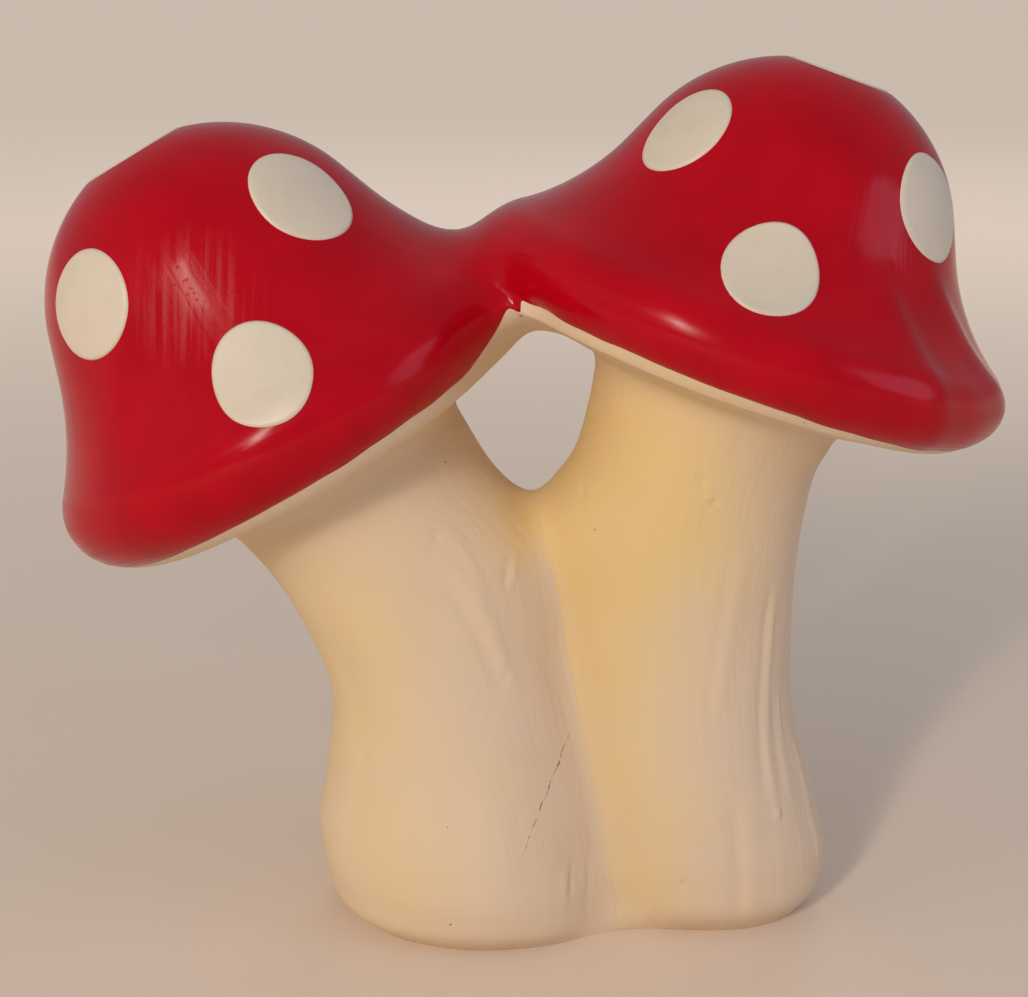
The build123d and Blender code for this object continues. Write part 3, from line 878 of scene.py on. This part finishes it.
def make_spot(form, cap_name, spot_name, turn, reach, width, height, material, seed):
    """Spot: an oval with a hand-drawn outline laid on the cap, level on top and rounded at its edge."""
    cap = form.parts[cap_name]
    thickness = form.clay.spot_thickness
    centre, out = (value[0] for value in cap.surface(np.array([reach]), np.array([turn])))
    sideways = cos(turn) * np.array([0, 1, 0]) - sin(turn) * cap.across
    upwards = np.cross(out, sideways)
    bearing = turns(SPOT_COLUMNS)
    drawn = drawn_round(bearing, seed)
    front, back = np.linspace(0, 1, SPOT_ROWS + 1)[1:], np.linspace(1, 0, SPOT_BACK_ROWS + 1)[:-1]
    share = np.concatenate([front, np.ones(1), back])[:, None]
    edge = smooth_step((share - SPOT_CROWN) / (1 - SPOT_CROWN))
    lift = thickness * np.sqrt(np.clip(1 - edge ** 2, 0, 1))
    lift[SPOT_ROWS:] = -thickness
    across = share * drawn * np.cos(bearing) * width / 2
    along = share * drawn * np.sin(bearing) * height / 2
    points = centre + across[..., None] * sideways + along[..., None] * upwards
    for _ in range(SETTLE_STEPS):
        points = points - (cap.distance(points) - lift)[..., None] * out
    points = points + out * cap.relief(points, np.full(points.shape[:2], reach), turn)[..., None]
    poles = points[[0, -1]].mean(axis=1)
    piece = make_piece(cap_name + "_spot_" + spot_name + "_paint", points, points, poles)
    dress(piece, material, "white_spot", cap_name + "_spot_" + spot_name)


def add_node(tree, kind, inputs=None, **settings):
    """Adds a shader node with its settings, and sets or links its inputs."""
    node = tree.nodes.new(kind)
    for key, value in settings.items():
        setattr(node, key, value)
    for key, value in (inputs or {}).items():
        if isinstance(value, bpy.types.NodeSocket):
            tree.links.new(value, node.inputs[key])
        else:
            node.inputs[key].default_value = value
    return node


def calculate(tree, operation, *values, **settings):
    """Result of one sum on these values or sockets."""
    inputs = dict(enumerate(values))
    return add_node(tree, "ShaderNodeMath", inputs, operation=operation, **settings).outputs["Value"]


def remap(tree, value, low, high, to_low=0.0, to_high=1.0, kind="LINEAR"):
    """A value carried over from one span to another, and kept within it."""
    inputs = {"Value": value, "From Min": low, "From Max": high, "To Min": to_low, "To Max": to_high}
    return add_node(tree, "ShaderNodeMapRange", inputs, interpolation_type=kind).outputs["Result"]


def noise(tree, vector, grain, detail):
    """Noise whose grains measure this many millimetres."""
    inputs = {"Vector": vector, "Scale": 1 / (grain * MM), "Detail": detail}
    return add_node(tree, "ShaderNodeTexNoise", inputs).outputs["Fac"]


def streaks(tree, vector, grain, detail):
    """Noise whose grains are stretched to these millimetres along the vector's three axes."""
    scale = [1 / (size * MM) for size in grain]
    mapped = add_node(tree, "ShaderNodeMapping", {"Vector": vector, "Scale": scale}).outputs["Vector"]
    inputs = {"Vector": mapped, "Scale": 1, "Detail": detail}
    return add_node(tree, "ShaderNodeTexNoise", inputs).outputs["Fac"]


def tinted(tree, factor, first, second):
    """One colour turned into another by a factor."""
    inputs = {"Factor": factor, "A": first, "B": second}
    return add_node(tree, "ShaderNodeMix", inputs, data_type="RGBA").outputs["Result"]


def new_material(name):
    """A node material, its tree and shader, and the place on the object."""
    material = bpy.data.materials.new(name)
    material.use_nodes = True
    tree = material.node_tree
    place = add_node(tree, "ShaderNodeTexCoord").outputs["Object"]
    return material, tree, tree.nodes["Principled BSDF"], place


def finish(tree, shader, tint, height, depth):
    """Gives a shader its colour, and fine relief from a height."""
    bump = add_node(tree, "ShaderNodeBump", {"Height": height, "Strength": 1.0, "Distance": depth})
    tree.links.new(tint, shader.inputs["Base Color"])
    tree.links.new(bump.outputs["Normal"], shader.inputs["Normal"])


def brushed_red_enamel(colours):
    """Gloss enamel brushed over fired clay: a deep red with fine streaks that break up its highlights."""
    material, tree, shader, place = new_material("brushed_red_enamel")
    around = add_node(tree, "ShaderNodeAttribute", attribute_name="around").outputs["Vector"]
    # Brush strokes down the dome and round the lip, which show in the gloss and as fine ridges
    down = streaks(tree, around, DOME_STROKE, detail=1)
    about = streaks(tree, around, LIP_STROKE, detail=1)
    way = add_node(tree, "ShaderNodeSeparateXYZ", {"Vector": around}).outputs["Z"]
    on_lip = remap(tree, way, *LIP_START, kind="SMOOTHSTEP")
    strokes = add_node(tree, "ShaderNodeMix", {"Factor": on_lip, "A": down, "B": about}).outputs["Result"]
    blotches = noise(tree, place, BLOTCH, detail=2)
    tint = tinted(tree, blotches, (*colours.red, 1), (*colours.red_thin, 1))
    # Worn paint on the left dome, whose pale streaky tint is also a painted highlight
    grit, rubbed_sheen = rubbed_sheen_patch(tree, place)
    tint = tinted(tree, rubbed_sheen, tint, (*colours.red_rubbed_sheen, 1))
    gloss = remap(tree, strokes, *STROKE_SPAN, *ENAMEL_ROUGHNESS)
    gloss = calculate(tree, "MULTIPLY_ADD", grit, GRIT_ROUGHNESS, gloss)
    height = calculate(tree, "MULTIPLY_ADD", grit, GRIT_RISE, strokes)
    finish(tree, shader, tint, height, ENAMEL_BUMP)
    tree.links.new(gloss, shader.inputs["Roughness"])
    shader.inputs["Specular IOR Level"].default_value = ENAMEL_SPECULAR
    return material


def rubbed_sheen_patch(tree, place):
    """A patch on the left dome: grit under the paint that scatters the light, and pale streaks of worn paint
    that are also a painted highlight.
    """
    patch_inputs = {0: place, 1: RUBBED_SHEEN_PLACE}
    apart = add_node(tree, "ShaderNodeVectorMath", patch_inputs, operation="DISTANCE").outputs["Value"]
    patch = remap(tree, apart, RUBBED_SHEEN_SIZE, RUBBED_SHEEN_CORE, kind="SMOOTHSTEP")
    chips = remap(tree, noise(tree, place, GRIT, detail=4), *GRIT_SPAN, kind="SMOOTHSTEP")
    grit = calculate(tree, "MULTIPLY", chips, patch)
    # Pale streaks in the patch: worn paint that is also a painted highlight
    rubbed_sheen = streaks(tree, place, RUBBED_SHEEN_STROKE, detail=1)
    rubbed_sheen = remap(tree, rubbed_sheen, *RUBBED_SHEEN_SPAN, to_high=RUBBED_SHEEN_STRENGTH, kind="SMOOTHSTEP")
    rubbed_sheen = calculate(tree, "MULTIPLY", rubbed_sheen, patch)
    return grit, calculate(tree, "SUBTRACT", rubbed_sheen, grit, use_clamp=True)


def satin_white_paint(colours):
    """Thick satin paint dabbed on the enamel: off-white, with faint stains and brush marks."""
    material, tree, shader, place = new_material("satin_white_paint")
    stain = remap(tree, noise(tree, place, STAIN, detail=4), *STAIN_SPAN, to_high=STAIN_STRENGTH)
    tint = tinted(tree, stain, (*colours.spot, 1), (*colours.spot_stain, 1))
    finish(tree, shader, tint, streaks(tree, place, SPOT_STROKE, detail=2), SPOT_BUMP)
    shader.inputs["Roughness"].default_value = SPOT_ROUGHNESS
    return material


def aged_and_lit_cream_bisque(colours):
    """Bare fired clay under a thin cream slip: matt, turned yellow in patches that also paint warm light on
    the sides facing left, with fine grain and pinholes.
    """
    material, tree, shader, place = new_material("aged_and_lit_cream_bisque")
    around = add_node(tree, "ShaderNodeAttribute", attribute_name="around").outputs["Vector"]
    # Yellow from the attribute and a cloud: slip turned yellow, and painted warm light on the sides facing
    # left
    aged_and_lit = add_node(tree, "ShaderNodeAttribute", attribute_name="aged_and_lit").outputs["Fac"]
    uneven = calculate(tree, "MULTIPLY_ADD", noise(tree, place, CLOUD, detail=4), CLOUD_STRENGTH, aged_and_lit)
    yellowed_and_lit = remap(tree, uneven, *AGED_SPAN)
    tint = tinted(tree, yellowed_and_lit, (*colours.cream, 1), (*colours.cream_aged_and_lit, 1))
    marks = calculate(tree, "MAXIMUM", pinholes(tree, place), crack_line(tree, place))
    tint = tinted(tree, marks, tint, (*colours.grime, 1))
    # Brush marks down the stem and a fine grain, drawn coarse enough to show
    brushed = streaks(tree, around, STEM_STROKE, detail=3)
    height = calculate(tree, "MULTIPLY_ADD", noise(tree, place, GRAIN, detail=3), GRAIN_STRENGTH, brushed)
    height = calculate(tree, "SUBTRACT", height, marks)
    finish(tree, shader, tint, height, CREAM_BUMP)
    shader.inputs["Roughness"].default_value = CREAM_ROUGHNESS
    shader.inputs["Specular IOR Level"].default_value = CREAM_SPECULAR
    return material


def pinholes(tree, place):
    """1 inside pinholes of different sizes, in a few of the pattern's cells, 0 elsewhere."""
    cell_inputs = {"Vector": place, "Scale": 1 / (PINHOLE_CELL * MM)}
    cells = add_node(tree, "ShaderNodeTexVoronoi", cell_inputs).outputs
    chosen = add_node(tree, "ShaderNodeSeparateColor", {"Color": cells["Color"]}).outputs["Red"]
    reach = remap(tree, chosen, *PINHOLE_SPAN, to_high=PINHOLE_REACH)
    return calculate(tree, "LESS_THAN", cells["Distance"], reach)


def crack_line(tree, place):
    """1 on a hairline crack down the front of the left stem, 0 elsewhere."""
    line_inputs = {"Vector": place, "Location": CRACK_TOP, "Rotation": (0, CRACK_SLANT, 0)}
    line = add_node(tree, "ShaderNodeMapping", line_inputs, vector_type="TEXTURE").outputs["Vector"]
    axes = add_node(tree, "ShaderNodeSeparateXYZ", {"Vector": line}).outputs
    wander = noise(tree, place, CRACK_BEND, detail=3)
    sideways = calculate(tree, "MULTIPLY_ADD", wander, CRACK_WANDER, axes["X"])
    off_line = calculate(tree, "ABSOLUTE", calculate(tree, "SUBTRACT", sideways, CRACK_WANDER / 2))
    # The crack shows as a row of dots that thins out to both ends
    dots = remap(tree, noise(tree, place, CRACK_DOT, detail=2), *CRACK_DOT_SPAN, to_low=CRACK_LEAST)
    below_top = remap(tree, axes["Z"], 0, -CRACK_THIN_TOP)
    above_end = remap(tree, axes["Z"], -CRACK_LENGTH, CRACK_THIN_END - CRACK_LENGTH)
    half_width = calculate(tree, "LESS_THAN", axes["Y"], 0)
    for share in (dots, below_top, above_end, CRACK_WIDTH / 2):
        half_width = calculate(tree, "MULTIPLY", half_width, share)
    return calculate(tree, "LESS_THAN", off_line, half_width)


def pale_floor(colours):
    """Matt painted board: a pale warm grey that takes a soft shadow."""
    material, tree, shader, place = new_material("pale_matt_floor")
    shader.inputs["Base Color"].default_value = (*colours.floor, 1)
    shader.inputs["Roughness"].default_value = FLOOR_ROUGHNESS
    # Far from the lamps the floor stays pale to the eye, to mirrors and through glass, and lights nothing
    away = add_node(tree, "ShaderNodeVectorMath", {0: place}, operation="LENGTH").outputs["Value"]
    far = remap(tree, away, FLOOR_NEAR, FLOOR_FAR, to_high=FLOOR_LIFT, kind="SMOOTHSTEP")
    rays = add_node(tree, "ShaderNodeLightPath").outputs
    seen = calculate(tree, "MAXIMUM", rays["Is Camera Ray"], rays["Is Glossy Ray"])
    seen = calculate(tree, "MAXIMUM", seen, rays["Is Transmission Ray"])
    shader.inputs["Emission Color"].default_value = (*colours.floor, 1)
    tree.links.new(calculate(tree, "MULTIPLY", far, seen), shader.inputs["Emission Strength"])
    return material


def make_floor(colours):
    """Round floor: a disc of rings, wide enough to fill the picture."""
    turn = turns(FLOOR_COLUMNS)
    radius = FLOOR_RADIUS * np.linspace(0, 1, FLOOR_ROWS + 1)[1:, None]
    grid = np.stack(np.broadcast_arrays(radius * np.cos(turn), radius * np.sin(turn), -FLOOR_GAP), axis=-1)
    under = np.array([0, 0, -FLOOR_THICKNESS])
    grid = np.concatenate([grid, grid[-1:] + under])
    poles = np.array([[0, 0, -FLOOR_GAP], under])
    floor = make_piece("floor", grid, grid, poles)
    floor.data.materials.append(pale_floor(colours))


def make_lights(scene):
    """A tall soft key with a brighter core, wide lights that don't show in the gloss, a fill and a room."""
    for name, place, width, height, power, hex_code in LIGHTS:
        data = bpy.data.lights.new(name, "AREA")
        data.shape = "ELLIPSE"
        data.size = width
        data.size_y = height
        data.energy = power
        data.color = linear(hex_code)
        lamp = bpy.data.objects.new(name, data)
        lamp.location = place
        aim = AIM_POINT - lamp.location
        lamp.rotation_euler = aim.to_track_quat("-Z", "Y").to_euler()
        lamp.visible_glossy = name not in UNMIRRORED
        scene.collection.objects.link(lamp)
    scene.world = bpy.data.worlds.new("room")
    scene.world.use_nodes = True
    room = scene.world.node_tree.nodes["Background"]
    room.inputs["Color"].default_value = (*linear(ROOM_COLOUR), 1)
    room.inputs["Strength"].default_value = ROOM_STRENGTH


def make_camera(scene):
    """Camera in front of the ornament, a little above it, looking down."""
    data = bpy.data.cameras.new("camera")
    data.sensor_width = CAMERA_SENSOR
    data.lens = CAMERA_LENS
    camera = bpy.data.objects.new("camera", data)
    camera.location = CAMERA_PLACE
    camera.rotation_euler = (pi / 2 - CAMERA_DOWN, 0, 0)
    scene.collection.objects.link(camera)
    scene.camera = camera


class ORNAMENT_OT_stems(Operator):
    """Make the two bent stems"""
    bl_idname = "ornament.stems"
    bl_label = "Stems"

    def execute(self, context):
        form = OrnamentForm(context.scene)
        material = aged_and_lit_cream_bisque(context.scene.ornament_paint)
        make_stem(form, "left_stem", LEFT_YELLOWED_AND_LIT, material)
        make_stem(form, "right_stem", RIGHT_YELLOWED_AND_LIT, material)
        return {"FINISHED"}


class ORNAMENT_OT_undersides(Operator):
    """Make the cream undersides of the two caps"""
    bl_idname = "ornament.undersides"
    bl_label = "Cap undersides"

    def execute(self, context):
        form = OrnamentForm(context.scene)
        material = bpy.data.materials["aged_and_lit_cream_bisque"]
        make_underside(form, "left_cap", (), material)
        make_underside(form, "right_cap", RIGHT_YELLOWED_AND_LIT, material)
        return {"FINISHED"}


class ORNAMENT_OT_caps(Operator):
    """Make the two red caps, the left one with the clay that is smoothed over the joint between them"""
    bl_idname = "ornament.caps"
    bl_label = "Caps"

    def execute(self, context):
        form = OrnamentForm(context.scene)
        material = brushed_red_enamel(context.scene.ornament_paint)
        make_cap(form, "left_cap", material, "neck_fillet")
        make_cap(form, "right_cap", material)
        return {"FINISHED"}


class ORNAMENT_OT_spots(Operator):
    """Make the white spots on both caps, front, back and top"""
    bl_idname = "ornament.spots"
    bl_label = "Spots"

    def execute(self, context):
        form = OrnamentForm(context.scene)
        material = satin_white_paint(context.scene.ornament_paint)
        for cap_name, spots in (("left_cap", LEFT_SPOTS), ("right_cap", RIGHT_SPOTS)):
            top_spot = form.parts[cap_name].sizes.top_spot
            make_spot(form, cap_name, "top", 0, 0, top_spot, top_spot, material, len(cap_name))
            for number, (name, turn, reach, width, height) in enumerate(spots):
                for side, mirror in (("front_", 1), ("back_", -1)):
                    bearing = mirror * (radians(turn) + FRONT)
                    seed = SEED_STEP * len(cap_name) + 2 * number + (mirror > 0)
                    sizes = reach * MM, width * MM, height * MM
                    make_spot(form, cap_name, side + name, bearing, *sizes, material, seed)
        return {"FINISHED"}


class ORNAMENT_OT_stage(Operator):
    """Make the floor, the soft studio light and the camera"""
    bl_idname = "ornament.stage"
    bl_label = "Stage"

    def execute(self, context):
        make_floor(context.scene.ornament_paint)
        make_lights(context.scene)
        make_camera(context.scene)
        context.scene.view_settings.view_transform = "Standard"
        return {"FINISHED"}


class ORNAMENT_PT_panel(Panel):
    """Lists the steps that make the ornament, and its colours"""
    bl_idname = "ORNAMENT_PT_panel"
    bl_label = "Ornament"
    bl_space_type = "VIEW_3D"
    bl_region_type = "UI"
    bl_category = "Ornament"

    def draw(self, context):
        for operator in OPERATORS:
            self.layout.operator(operator.bl_idname)
        for name in PaintColours.__annotations__:
            self.layout.prop(context.scene.ornament_paint, name)


OPERATORS = (
    ORNAMENT_OT_stems, ORNAMENT_OT_undersides, ORNAMENT_OT_caps, ORNAMENT_OT_spots, ORNAMENT_OT_stage)
SETTINGS = {
    "ornament_left_stem": LeftStemSizes,
    "ornament_right_stem": RightStemSizes,
    "ornament_left_cap": LeftCapSizes,
    "ornament_right_cap": RightCapSizes,
    "ornament_clay": ClaySizes,
    "ornament_paint": PaintColours,
}


def register():
    for cls in (*SETTINGS.values(), *OPERATORS, ORNAMENT_PT_panel):
        bpy.utils.register_class(cls)
    for name, cls in SETTINGS.items():
        setattr(bpy.types.Scene, name, PointerProperty(type=cls))


def unregister():
    for name in SETTINGS:
        delattr(bpy.types.Scene, name)
    for cls in (*SETTINGS.values(), *OPERATORS, ORNAMENT_PT_panel):
        bpy.utils.unregister_class(cls)


def main():
    register()
    bpy.ops.ornament.stems()
    bpy.ops.ornament.undersides()
    bpy.ops.ornament.caps()
    bpy.ops.ornament.spots()
    bpy.ops.ornament.stage()


if __name__ == "__main__":
    main()
